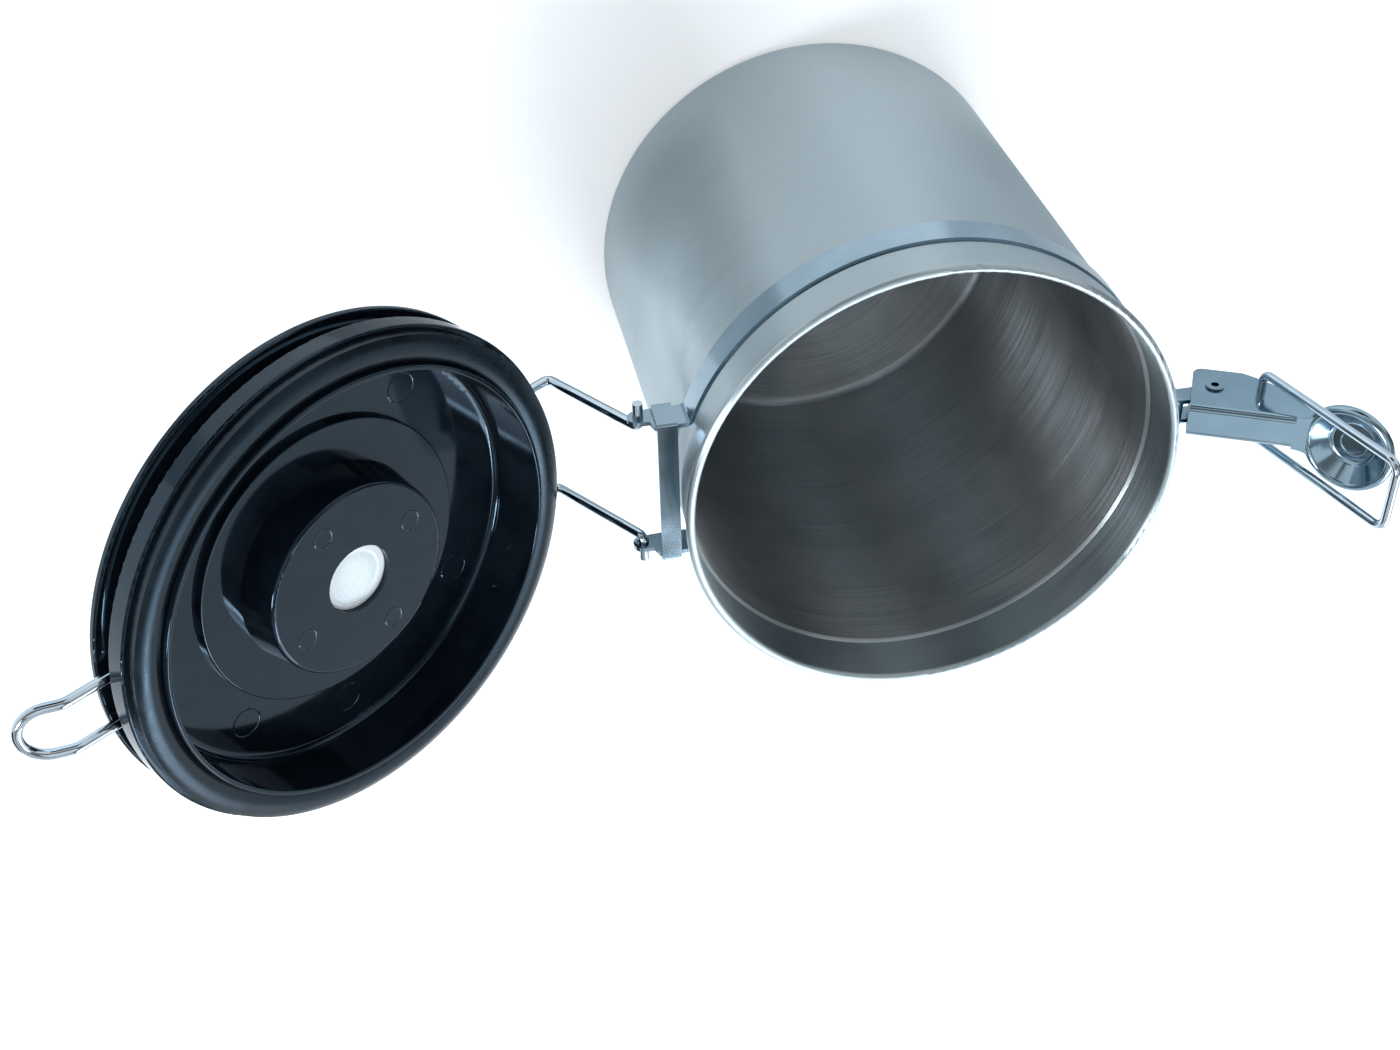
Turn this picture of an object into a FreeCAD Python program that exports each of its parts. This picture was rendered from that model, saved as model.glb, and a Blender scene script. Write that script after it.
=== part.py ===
import FreeCAD, Part
import math
import os
import re

import Sketcher
from FreeCAD import Placement, Rotation, Vector

# Coffee canister: steel can, clamped neck band, hinged lid with a gas valve, over-centre latch.
# The can stands on z = 0 with its axis on Z. The hinge is at -X and the latch at +X.

# Driving sizes in millimetres, angles in degrees
sizes = {
    # can
    "body_radius": 58.4,
    "body_height": 125.4,
    "wall": 0.8,
    "base_corner": 3.0,
    "neck_step": 0.4,
    "curl_bore": 0.3,
    "groove_depth": 0.25,
    "groove_slope": 0.8,
    # neck band, in two halves
    "band_drop": 14.2,
    "band_width": 7.8,
    "band_sheet": 1.1,
    "band_fit": 0.05,
    "band_play": 0.3,
    "band_bend": 1.5,
    "ear_half_width": 2.6,
    "shoulder_taper": 1.2,
    # hinge
    "hinge_stand_off": 7.1,
    "hinge_drop": 19.3,
    "hinge_half_gap": 18.0,
    "hinge_tongue": 2.2,
    "pin_stub": 3.8,
    "pin_clearance": 0.08,
    # latch pivot
    "pivot_stand_off": 17.3,
    "pivot_drop": 19.3,
    "latch_half_gap": 2.3,
    "latch_tongue": 14.4,
    # clips across the ears
    "clip_sheet": 0.9,
    "clip_width": 4.8,
    "clip_fit": 0.05,
    "clip_stand_off": 0.3,
    "clip_round": 0.8,
    # lid
    "seal_gap": 0.2,
    "lid_overhang": 0.2,
    "lower_flange": 5.0,
    "wire_slot": 5.0,
    "upper_flange": 1.7,
    "crown_rise": 1.4,
    "crown_width": 6.4,
    "flange_round": 0.5,
    "tip_round": 0.4,
    "skirt_inset": 5.4,
    "skirt_wall": 1.2,
    "skirt_reach": 0.6,
    "top_plate": 2.0,
    "recess_round": 2.0,
    "boss_radius": 35.2,
    "boss_depth": 1.8,
    "hub_radius": 23.8,
    "hub_depth": 9.7,
    "hub_draft": 1.2,
    "hub_wall": 2.0,
    "hub_round": 1.0,
    "cover_ledge": 1.8,
    "cover_sheet": 1.6,
    # gasket
    "gasket_depth": 3.3,
    "gasket_inset": 1.1,
    "gasket_round": 1.9,
    "gasket_fit": 0.05,
    # bail wire
    "bail_wire": 2.5,
    "ring_inset": 3.2,
    "ring_fit": 0.1,
    "arm_inset": 1.8,
    "arm_bend": 1.6,
    "ring_fillet": 3.2,
    "catch_half_width": 6.3,
    "catch_flat": 9.0,
    "catch_slope": 4.2,
    "catch_bend": 4.0,
    "catch_rise_angle": 28.0,
    # valve
    "valve_hole_radius": 8.4,
    "valve_fit": 0.1,
    "valve_recess": 1.5,
    "valve_flange_radius": 12.0,
    "valve_flange": 1.6,
    "filter_radius": 6.9,
    "filter_depth": 0.7,
    "filter_fit": 0.05,
    "vent_radius": 0.8,
    "vent_circle": 4.2,
    "post_radius": 1.2,
    "post_height": 1.4,
    "flap_radius": 6.6,
    "flap_sheet": 0.8,
    "flap_bore_play": 0.2,
    "flap_seat_gap": 0.02,
    "flap_travel": 0.8,
    "cap_wall": 1.2,
    "cap_play": 2.4,
    "cap_vent_radius": 1.1,
    "cap_vent_circle": 5.2,
    "slot_inner": 8.0,
    "slot_outer": 17.0,
    "slot_half_width": 0.9,
    # lever
    "lever_sheet": 0.8,
    "cheek_gap": 0.3,
    "lever_end": 5.5,
    "web_height": 10.1,
    "cheek_drop": 7.4,
    "cheek_flat": 12.0,
    "cheek_sweep": 40.0,
    "cheek_corner": 2.4,
    "cheek_reach": 1.7,
    "cheek_lift": 5.8,
    "web_length": 28.4,
    "web_round": 1.5,
    "loop_hole_out": 11.2,
    "loop_hole_drop": 1.0,
    "pad_radius": 11.5,
    "pad_out": 32.6,
    "pad_lift": 2.8,
    "pad_tilt_angle": 25.7,
    "pad_edge": 0.4,
    "pad_rim": 1.3,
    "pad_bead": 1.2,
    "pad_lip": 0.8,
    "pad_lip_drop": 0.5,
    "pad_wall": 3.2,
    "pad_wall_drop": 3.0,
    "pad_corner": 1.1,
    "pad_corner_drop": 0.6,
    "neck_start": 3.2,
    "neck_reach": 2.3,
    "neck_flare": 2.3,
    # rivet
    "rivet_radius": 1.6,
    "rivet_bore": 0.95,
    "rivet_head_radius": 2.3,
    "rivet_head": 0.45,
    "rivet_fit": 0.03,
    "rivet_clearance": 0.06,
    "rivet_head_gap": 0.1,
    # latch loop
    "loop_wire": 2.25,
    "loop_half_width": 9.4,
    "loop_root_bend": 2.3,
    "loop_tip_bend": 3.2,
    "loop_end_inset": 1.1,
    "hook_gap": 0.3,
    "hook_seat": 6.8,
    # poses
    "lid_open_angle": 144.7,
    "lever_rest_angle": 26.2,
    "lever_closed_angle": -102.0,
    "loop_rest_angle": 72.7,
    # cuts run this far past what they cut
    "overrun": 1.0,
}

# What follows from the driving sizes
relations = {
    "neck_radius": "body_radius + neck_step",
    "mouth_radius": "neck_radius - wall",
    "bead_radius": "wall + curl_bore",
    "rim_radius": "mouth_radius + 2 * bead_radius",
    "bead_height": "body_height - bead_radius",
    "bead_foot": "bead_height - sqrt(bead_radius ^ 2 - curl_bore ^ 2)",
    "groove_radius": "body_radius - groove_depth",
    "band_top": "body_height - band_drop",
    "band_low": "band_top - band_width",
    "groove_top": "band_top + band_play",
    "groove_low": "band_low - band_play",
    "band_inner": "groove_radius + band_fit",
    "band_outer": "band_inner + band_sheet",
    "bend_ring": "band_outer + band_bend",
    "hinge_x": "rim_radius + hinge_stand_off",
    "hinge_z": "body_height - hinge_drop",
    "hinge_ear": "hinge_half_gap + band_sheet",
    "hinge_bend_y": "hinge_ear + band_bend",
    "hinge_bend_x": "sqrt(bend_ring ^ 2 - hinge_bend_y ^ 2)",
    "pivot_x": "rim_radius + pivot_stand_off",
    "pivot_z": "body_height - pivot_drop",
    "latch_ear": "latch_half_gap + band_sheet",
    "latch_bend_y": "latch_ear + band_bend",
    "latch_bend_x": "sqrt(bend_ring ^ 2 - latch_bend_y ^ 2)",
    "hinge_clip_x": "neck_radius + clip_stand_off",
    "latch_clip_x": "pivot_x - latch_tongue",
    "latch_ear_top": "pivot_z + ear_half_width",
    "latch_ear_low": "pivot_z - ear_half_width",
    "wire_radius": "bail_wire / 2",
    "pin_hole": "wire_radius + pin_clearance",
    "rivet_hole": "rivet_radius + rivet_fit",
    "lid_radius": "rim_radius + lid_overhang",
    "gasket_seat": "seal_gap + gasket_depth",
    "gasket_radius": "lid_radius - gasket_inset",
    "slot_low": "gasket_seat + lower_flange",
    "slot_top": "slot_low + wire_slot",
    "wire_height": "slot_low + wire_slot / 2",
    "crown_foot": "slot_top + upper_flange",
    "lid_top": "crown_foot + crown_rise",
    "crown_radius": "(crown_width ^ 2 + crown_rise ^ 2) / (2 * crown_rise)",
    "crown_start": "lid_radius - crown_width",
    "ring_radius": "lid_radius - ring_inset - wire_radius",
    "slot_floor": "ring_radius - wire_radius - ring_fit",
    "skirt_radius": "mouth_radius - skirt_inset",
    "skirt_inside": "skirt_radius - skirt_wall",
    "recess_floor": "lid_top - top_plate",
    "boss_face": "recess_floor - boss_depth",
    "hub_face": "boss_face - hub_depth",
    "hub_root": "hub_radius + hub_draft",
    "well_radius": "hub_radius - hub_wall",
    "well_floor": "hub_face + hub_wall",
    "cover_radius": "well_radius + cover_ledge",
    "cover_seat": "lid_top - cover_sheet",
    "spigot_radius": "valve_hole_radius - valve_fit",
    "spigot_foot": "hub_face + valve_recess",
    "filter_pocket_radius": "filter_radius + filter_fit",
    "filter_roof": "spigot_foot + filter_depth + 2 * filter_fit",
    "valve_seat": "well_floor + valve_flange",
    "flap_low": "valve_seat + flap_seat_gap",
    "flap_top": "flap_low + flap_sheet",
    "flap_bore": "post_radius + flap_bore_play",
    "cap_inside": "flap_radius + cap_play",
    "cap_radius": "cap_inside + cap_wall",
    "cap_roof": "flap_top + flap_travel + flap_seat_gap",
    "cap_top": "cap_roof + cap_wall",
    "cheek_inside": "latch_ear + cheek_gap",
    "lever_half_width": "cheek_inside + lever_sheet",
    "web_under": "web_height - lever_sheet",
    "web_end": "web_length - lever_end",
    "cheek_turn": "cheek_flat - lever_end",
    "loop_radius": "loop_wire / 2",
    "loop_hole": "loop_radius + rivet_clearance",
    "lever_hole": "rivet_radius + rivet_clearance",
    "rivet_head_foot": "lever_half_width + rivet_head_gap",
    "rivet_half_length": "rivet_head_foot + rivet_head",
    "sheet_slant": "lever_sheet / sqrt(2)",
    "pad_crest_radius": "pad_radius - pad_rim",
    "pad_head_radius": "pad_crest_radius - pad_lip",
    "pad_foot_radius": "pad_head_radius - pad_wall",
    "pad_floor_radius": "pad_foot_radius - pad_corner",
    "pad_crest": "pad_edge + pad_bead",
    "pad_head": "pad_crest - pad_lip_drop",
    "pad_foot": "pad_head - pad_wall_drop",
    "pad_floor": "pad_foot - pad_corner_drop",
    "pad_rim_round": "(pad_rim ^ 2 + pad_bead ^ 2) / (2 * pad_bead)",
    "pad_lip_round": "(pad_lip ^ 2 + pad_lip_drop ^ 2) / (2 * pad_lip_drop)",
    "pad_corner_round": "(pad_corner ^ 2 + pad_corner_drop ^ 2) / (2 * pad_corner_drop)",
    "cheek_end": "web_end + cheek_reach",
    "neck_low": "web_end - neck_start",
    "neck_top": "web_end + neck_reach",
    "neck_half_width": "lever_half_width + neck_flare",
    "neck_round": "((neck_start + neck_reach) ^ 2 + neck_flare ^ 2) / (2 * neck_flare)",
    "neck_end_round": "sqrt((pad_out - neck_top) ^ 2 + neck_half_width ^ 2)",
}

vent_count = 6
cap_vent_count = 5
slot_count = 8
wire_volume_share = 0.01

doc = FreeCAD.newDocument("CoffeeCanister")
sheet = doc.addObject("Spreadsheet::Sheet", "Sizes")
for row, (alias, number) in enumerate(sizes.items(), start=1):
    sheet.set("A%d" % row, alias)
    sheet.set("B%d" % row, str(number))
    sheet.setAlias("B%d" % row, alias)
doc.recompute()


def bound(text):
    """Writes a relation in terms of the sheet's cells."""
    def cell(match):
        word = match.group(0)
        if word in relations:
            return "(" + bound(relations[word]) + ")"
        return "Sizes." + word if word in sizes else word
    return re.sub(r"[a-z_]+", cell, text)


def value(text):
    """Gives the number that a relation has now."""
    return float(sheet.evalExpression(bound(text)))


def new_body(label):
    body = doc.addObject("PartDesign::Body", label)
    body.Label = label
    return body


def new_sketch(body, name, role):
    plane = [item for item in body.Origin.OriginFeatures if item.Role == role][0]
    sketch = body.newObject("Sketcher::SketchObject", name)
    sketch.AttachmentSupport = [(plane, "")]
    sketch.MapMode = "FlatFace"
    return sketch


def fix_point(sketch, edge, end, x, y):
    """Ties one point of a sketch to the origin, by relations for its two coordinates."""
    for kind, axis, text in (("DistanceX", -2, x), ("DistanceY", -1, y)):
        number = value(text)
        if abs(number) < Part.Precision.confusion():
            sketch.addConstraint(Sketcher.Constraint("PointOnObject", edge, end, axis))
        elif number > 0:
            index = sketch.addConstraint(Sketcher.Constraint(kind, -1, 1, edge, end, number))
            sketch.setExpression("Constraints[%d]" % index, bound(text))
        else:
            index = sketch.addConstraint(Sketcher.Constraint(kind, edge, end, -1, 1, -number))
            sketch.setExpression("Constraints[%d]" % index, bound("-(%s)" % text))


def arc_between(start, stop, radius, turn):
    """Arc of less than half a circle from start to stop, turning left (1) or right (-1)."""
    chord = stop - start
    half = chord.Length / 2
    rise = math.sqrt(max(radius ** 2 - half ** 2, 0))
    side = Vector(-chord.y, chord.x, 0).normalize() * turn
    centre = start + chord / 2 + side * rise
    first, last = (start, stop) if turn > 0 else (stop, start)
    angles = [math.atan2(point.y - centre.y, point.x - centre.x) for point in (first, last)]
    circle = Part.Circle(centre, Vector(0, 0, 1), radius)
    return Part.ArcOfCircle(circle, angles[0], angles[1])


def outline(sketch, corners):
    """Closed outline. A corner is (x, y), or (x, y, radius, turn) where an arc leaves it."""
    points = [Vector(value(corner[0]), value(corner[1]), 0) for corner in corners]
    ends = []
    for number, corner in enumerate(corners):
        start = points[number]
        stop = points[(number + 1) % len(points)]
        if len(corner) == 2:
            edge = sketch.addGeometry(Part.LineSegment(start, stop))
            ends.append((edge, 1, 2))
            continue
        radius = value(corner[2])
        edge = sketch.addGeometry(arc_between(start, stop, radius, corner[3]))
        ends.append((edge, 1, 2) if corner[3] > 0 else (edge, 2, 1))
    for number, corner in enumerate(corners):
        edge, first, last = ends[number]
        following = ends[(number + 1) % len(ends)]
        sketch.addConstraint(Sketcher.Constraint("Coincident", edge, last, following[0], following[1]))
    for number, corner in enumerate(corners):
        edge, first, last = ends[number]
        fix_point(sketch, edge, first, corner[0], corner[1])
        if len(corner) == 4:
            index = sketch.addConstraint(Sketcher.Constraint("Radius", edge, value(corner[2])))
            sketch.setExpression("Constraints[%d]" % index, bound(corner[2]))


def circle(sketch, x, y, radius):
    centre = Vector(value(x), value(y), 0)
    edge = sketch.addGeometry(Part.Circle(centre, Vector(0, 0, 1), value(radius)))
    fix_point(sketch, edge, 3, x, y)
    index = sketch.addConstraint(Sketcher.Constraint("Radius", edge, value(radius)))
    sketch.setExpression("Constraints[%d]" % index, bound(radius))


def pad(body, sketch, length, both_ways=False):
    feature = body.newObject("PartDesign::Pad", sketch.Name + "Pad")
    feature.Profile = sketch
    feature.SideType = "Symmetric" if both_ways else "One side"
    feature.setExpression("Length", bound(length))
    return feature


def cut_through(body, sketch):
    """Cuts a sketch through the whole body, both ways, and makes sure that it cut."""
    doc.recompute()
    before = body.Shape.Volume
    feature = body.newObject("PartDesign::Pocket", sketch.Name + "Cut")
    feature.Profile = sketch
    feature.Type = "ThroughAll"
    feature.SideType = "Symmetric"
    doc.recompute()
    if not body.Shape.Volume < before:
        raise ValueError(sketch.Name + " cuts nothing")
    return feature


def revolve(body, sketch):
    feature = body.newObject("PartDesign::Revolution", sketch.Name + "Turn")
    feature.Profile = sketch
    feature.ReferenceAxis = (sketch, ["V_Axis"])
    doc.recompute()
    return feature


def turned(label, corners):
    """A round piece: half section in the XZ plane, turned about Z."""
    body = new_body(label)
    section = new_sketch(body, label + "_section", "XZ_Plane")
    outline(section, corners)
    revolve(body, section)
    return body


def drilled_ring(body, name, radius, circle_radius, count):
    """Vertical holes, evenly spaced on a circle."""
    sketch = new_sketch(body, name, "XY_Plane")
    circle(sketch, circle_radius, "0", radius)
    repeat(body, sketch, cut_through(body, sketch), count)


def repeat(body, sketch, feature, count):
    pattern = body.newObject("PartDesign::PolarPattern", sketch.Name + "Ring")
    pattern.Originals = [feature]
    pattern.Axis = (sketch, ["N_Axis"])
    pattern.Occurrences = count
    body.Tip = pattern
    doc.recompute()


def round_edges(body, radius, wanted):
    """Fillets the edges of the body's last feature that the test picks."""
    doc.recompute()
    tip = body.Tip
    names = ["Edge%d" % number for number, edge in enumerate(tip.Shape.Edges, 1) if wanted(edge)]
    fillet = body.newObject("PartDesign::Fillet", body.Name + "Fillet")
    fillet.Base = (tip, names)
    fillet.setExpression("Radius", bound(radius))
    doc.recompute()
    return fillet


def canister_body():
    return turned("canister_body", [
        ("0", "0"),
        ("body_radius - base_corner", "0", "base_corner", 1),
        ("body_radius", "base_corner"),
        ("body_radius", "groove_low - groove_slope"),
        ("groove_radius", "groove_low"),
        ("groove_radius", "groove_top"),
        ("neck_radius", "groove_top + groove_slope"),
        ("neck_radius", "bead_foot", "bead_radius", 1),
        ("rim_radius", "bead_height", "bead_radius", 1),
        ("mouth_radius + bead_radius", "body_height", "bead_radius", 1),
        ("mouth_radius", "bead_height"),
        ("mouth_radius", "groove_top + groove_slope"),
        ("groove_radius - wall", "groove_top"),
        ("groove_radius - wall", "groove_low"),
        ("body_radius - wall", "groove_low - groove_slope"),
        ("body_radius - wall", "base_corner", "base_corner - wall", -1),
        ("body_radius - base_corner", "wall"),
        ("0", "wall"),
    ])


def half_band(label, side):
    """Half of the neck band, with an ear turned out at each end. side is 1 for +Y, -1 for -Y."""
    def across(text):
        return text if side > 0 else "-(%s)" % text

    def on_ring(x, y, radius):
        return "%s * %s / bend_ring" % (x, radius), across("%s * %s / bend_ring" % (y, radius))

    hinge_outer = on_ring("-hinge_bend_x", "hinge_bend_y", "band_outer")
    hinge_inner = on_ring("-hinge_bend_x", "hinge_bend_y", "band_inner")
    latch_outer = on_ring("latch_bend_x", "latch_bend_y", "band_outer")
    latch_inner = on_ring("latch_bend_x", "latch_bend_y", "band_inner")
    top_outer = ("0", across("band_outer"))
    top_inner = ("0", across("band_inner"))
    hinge_end = "-(hinge_x + ear_half_width)"
    latch_end = "pivot_x + ear_half_width"
    body = new_body(label)
    plan = new_sketch(body, label + "_plan", "XY_Plane")
    outline(plan, [
        (hinge_end, across("hinge_ear")),
        ("-hinge_bend_x", across("hinge_ear"), "band_bend", side),
        hinge_outer + ("band_outer", -side),
        top_outer + ("band_outer", -side),
        latch_outer + ("band_bend", side),
        ("latch_bend_x", across("latch_ear")),
        (latch_end, across("latch_ear")),
        (latch_end, across("latch_half_gap")),
        ("latch_bend_x", across("latch_half_gap"), "band_bend + band_sheet", -side),
        latch_inner + ("band_inner", side),
        top_inner + ("band_inner", side),
        hinge_inner + ("band_bend + band_sheet", -side),
        ("-hinge_bend_x", across("hinge_half_gap")),
        (hinge_end, across("hinge_half_gap")),
    ])
    plan.setExpression("AttachmentOffset.Base.z", bound("band_low"))
    pad(body, plan, "band_width")
    trim = new_sketch(body, label + "_trim", "XZ_Plane")
    left = "-(hinge_x + ear_half_width + overrun)"
    right = "pivot_x + ear_half_width + overrun"
    outline(trim, [
        (left, "band_low - 2 * overrun"),
        (right, "band_low - 2 * overrun"),
        (right, "band_top + 2 * overrun"),
        (left, "band_top + 2 * overrun"),
    ])
    outline(trim, [
        ("-hinge_x", "hinge_z - ear_half_width"),
        ("-(hinge_x - hinge_tongue)", "hinge_z - ear_half_width"),
        ("-(hinge_x - hinge_tongue - shoulder_taper)", "band_low - overrun"),
        ("pivot_x - latch_tongue - shoulder_taper", "band_low - overrun"),
        ("pivot_x - latch_tongue", "pivot_z - ear_half_width"),
        ("pivot_x", "pivot_z - ear_half_width", "ear_half_width", 1),
        ("pivot_x + ear_half_width", "pivot_z", "ear_half_width", 1),
        ("pivot_x", "pivot_z + ear_half_width"),
        ("pivot_x - latch_tongue", "pivot_z + ear_half_width"),
        ("pivot_x - latch_tongue - shoulder_taper", "band_top + overrun"),
        ("-(hinge_x - hinge_tongue - shoulder_taper)", "band_top + overrun"),
        ("-(hinge_x - hinge_tongue)", "hinge_z + ear_half_width"),
        ("-hinge_x", "hinge_z + ear_half_width", "ear_half_width", 1),
        ("-(hinge_x + ear_half_width)", "hinge_z", "ear_half_width", 1),
    ])
    circle(trim, "-hinge_x", "hinge_z", "pin_hole")
    circle(trim, "pivot_x", "pivot_z", "rivet_hole")
    cut_through(body, trim)
    return body


def ear_clip(label, ear, edge, foot, start):
    """U-shaped strip over the upper edges of two ears, with a tab down each outer face."""
    body = new_body(label)
    under = "%s + clip_fit" % edge
    top = "%s + clip_fit + clip_sheet" % edge
    inside = "%s + clip_fit" % ear
    outside = "%s + clip_fit + clip_sheet" % ear
    section = new_sketch(body, label + "_section", "YZ_Plane")
    outline(section, [
        (inside, foot),
        (outside, foot),
        (outside, top + " - clip_round", "clip_round", 1),
        (outside + " - clip_round", top),
        ("-(%s - clip_round)" % outside, top, "clip_round", 1),
        ("-(%s)" % outside, top + " - clip_round"),
        ("-(%s)" % outside, foot),
        ("-(%s)" % inside, foot),
        ("-(%s)" % inside, under),
        (inside, under),
    ])
    pad(body, section, "clip_width")
    body.setExpression("Placement.Base.x", bound(start))
    return body


def latch_rivet():
    """Tubular rivet with a flat head at each end, lying along Y."""
    body = turned("latch_rivet", [
        ("rivet_bore", "-rivet_half_length"),
        ("rivet_head_radius", "-rivet_half_length"),
        ("rivet_head_radius", "-rivet_head_foot"),
        ("rivet_radius", "-rivet_head_foot"),
        ("rivet_radius", "rivet_head_foot"),
        ("rivet_head_radius", "rivet_head_foot"),
        ("rivet_head_radius", "rivet_half_length"),
        ("rivet_bore", "rivet_half_length"),
    ])
    body.Placement = Placement(pivot_point(), Rotation(Vector(1, 0, 0), 90))
    return body


def pivot_point():
    return Vector(value("pivot_x"), 0, value("pivot_z"))


def turned_up(angle):
    """Turn that lifts the +X direction towards +Z by an angle."""
    return Rotation(Vector(0, -1, 0), angle)


def lid_placement():
    """Takes the lid's own frame, whose z = 0 is the rim crest of the shut can, to the open lid."""
    hinge = Vector(-value("hinge_x"), 0, value("hinge_z"))
    shut = Placement(Vector(0, 0, value("body_height")), Rotation())
    swing = Placement(Vector(0, 0, 0), turned_up(value("lid_open_angle")), hinge)
    return swing.multiply(shut)


def lid_shell():
    body = turned("lid_shell", [
        ("cover_radius", "lid_top"),
        ("cover_radius", "cover_seat"),
        ("well_radius", "cover_seat"),
        ("well_radius", "well_floor"),
        ("valve_hole_radius", "well_floor"),
        ("valve_hole_radius", "hub_face"),
        ("hub_radius - hub_round", "hub_face", "hub_round", 1),
        ("hub_radius", "hub_face + hub_round"),
        ("hub_root", "boss_face"),
        ("boss_radius - tip_round", "boss_face", "tip_round", 1),
        ("boss_radius", "boss_face + tip_round"),
        ("boss_radius", "recess_floor"),
        ("skirt_inside - recess_round", "recess_floor", "recess_round", -1),
        ("skirt_inside", "recess_floor - recess_round"),
        ("skirt_inside", "tip_round - skirt_reach", "tip_round", 1),
        ("skirt_inside + tip_round", "-skirt_reach"),
        ("skirt_radius - tip_round", "-skirt_reach", "tip_round", 1),
        ("skirt_radius", "tip_round - skirt_reach"),
        ("skirt_radius", "gasket_seat"),
        ("lid_radius", "gasket_seat"),
        ("lid_radius", "slot_low"),
        ("slot_floor", "slot_low"),
        ("slot_floor", "slot_top"),
        ("lid_radius", "slot_top"),
        ("lid_radius", "crown_foot", "crown_radius", 1),
        ("crown_start", "lid_top"),
    ])
    rim = value("lid_radius")
    round_edges(body, "flange_round", lambda edge: on_radius(edge, rim))
    body.Placement = lid_placement()
    return body


def on_radius(edge, radius):
    curve = edge.Curve
    return isinstance(curve, Part.Circle) and abs(curve.Radius - radius) < Part.Precision.approximation()


def lid_gasket():
    body = turned("lid_gasket", [
        ("skirt_radius + gasket_fit", "gasket_seat"),
        ("skirt_radius + gasket_fit", "seal_gap"),
        ("gasket_radius - gasket_round", "seal_gap", "gasket_round", 1),
        ("gasket_radius", "seal_gap + gasket_round"),
        ("gasket_radius", "gasket_seat"),
    ])
    body.Placement = lid_placement()
    return body


def valve_body():
    """Seat of the gas valve: spigot in the hub's hole, flange on the well floor, guide post."""
    body = turned("valve_body", [
        ("0", "filter_roof"),
        ("filter_pocket_radius", "filter_roof"),
        ("filter_pocket_radius", "spigot_foot"),
        ("spigot_radius", "spigot_foot"),
        ("spigot_radius", "well_floor"),
        ("valve_flange_radius", "well_floor"),
        ("valve_flange_radius", "valve_seat"),
        ("post_radius", "valve_seat"),
        ("post_radius", "valve_seat + post_height"),
        ("0", "valve_seat + post_height"),
    ])
    drilled_ring(body, "valve_vents", "vent_radius", "vent_circle", vent_count)
    body.Placement = lid_placement()
    return body


def valve_filter():
    body = turned("valve_filter", [
        ("0", "spigot_foot + filter_fit"),
        ("filter_radius", "spigot_foot + filter_fit"),
        ("filter_radius", "filter_roof - filter_fit"),
        ("0", "filter_roof - filter_fit"),
    ])
    body.Placement = lid_placement()
    return body


def valve_flap():
    body = turned("valve_flap", [
        ("flap_bore", "flap_low"),
        ("flap_radius", "flap_low"),
        ("flap_radius", "flap_top"),
        ("flap_bore", "flap_top"),
    ])
    body.Placement = lid_placement()
    return body


def valve_cap():
    """Cage over the flap, with vents in its roof."""
    body = turned("valve_cap", [
        ("0", "cap_roof"),
        ("cap_inside", "cap_roof"),
        ("cap_inside", "valve_seat"),
        ("cap_radius", "valve_seat"),
        ("cap_radius", "cap_top"),
        ("0", "cap_top"),
    ])
    drilled_ring(body, "cap_vents", "cap_vent_radius", "cap_vent_circle", cap_vent_count)
    body.Placement = lid_placement()
    return body


def vent_cover():
    """Slotted plate, flush with the lid's top."""
    body = turned("vent_cover", [
        ("0", "cover_seat"),
        ("cover_radius - valve_fit", "cover_seat"),
        ("cover_radius - valve_fit", "lid_top"),
        ("0", "lid_top"),
    ])
    slot = new_sketch(body, "cover_slots", "XY_Plane")
    outline(slot, [
        ("slot_inner", "-slot_half_width"),
        ("slot_outer", "-slot_half_width", "slot_half_width", 1),
        ("slot_outer + slot_half_width", "0", "slot_half_width", 1),
        ("slot_outer", "slot_half_width"),
        ("slot_inner", "slot_half_width", "slot_half_width", 1),
        ("slot_inner - slot_half_width", "0", "slot_half_width", 1),
    ])
    repeat(body, slot, cut_through(body, slot), slot_count)
    body.Placement = lid_placement()
    return body


def bent(points, radii):
    """Edges of a bent wire: straight runs through the points, with an arc at each inner one."""
    edges = []
    start = points[0]
    for before, corner, after, radius in zip(points, points[1:], points[2:], radii):
        come = (corner - before).normalize()
        leave = (after - corner).normalize()
        turn = come.getAngle(leave)
        setback = radius * math.tan(turn / 2)
        enter = corner - come * setback
        leaving = corner + leave * setback
        towards = (leave - come).normalize()
        middle = corner + towards * (radius / math.cos(turn / 2) - radius)
        edges.append(Part.LineSegment(start, enter).toShape())
        edges.append(Part.Arc(enter, middle, leaving).toShape())
        start = leaving
    edges.append(Part.LineSegment(start, points[-1]).toShape())
    return edges


def wire_solid(edges, radius):
    """Round wire along a path, with its volume compared with section times length."""
    path = Part.Wire(Part.__sortEdges__(edges))
    start = path.OrderedVertexes[0].Point
    first = path.OrderedEdges[0]
    along = first.tangentAt(first.FirstParameter)
    ring = Part.Wire([Part.Circle(start, along, radius).toShape()])
    solid = path.makePipeShell([ring], True, False)
    expected = math.pi * radius ** 2 * path.Length
    if abs(solid.Volume / expected - 1) > wire_volume_share:
        raise ValueError("wire volume is off: %.1f for %.1f" % (solid.Volume, expected))
    return solid


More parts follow.
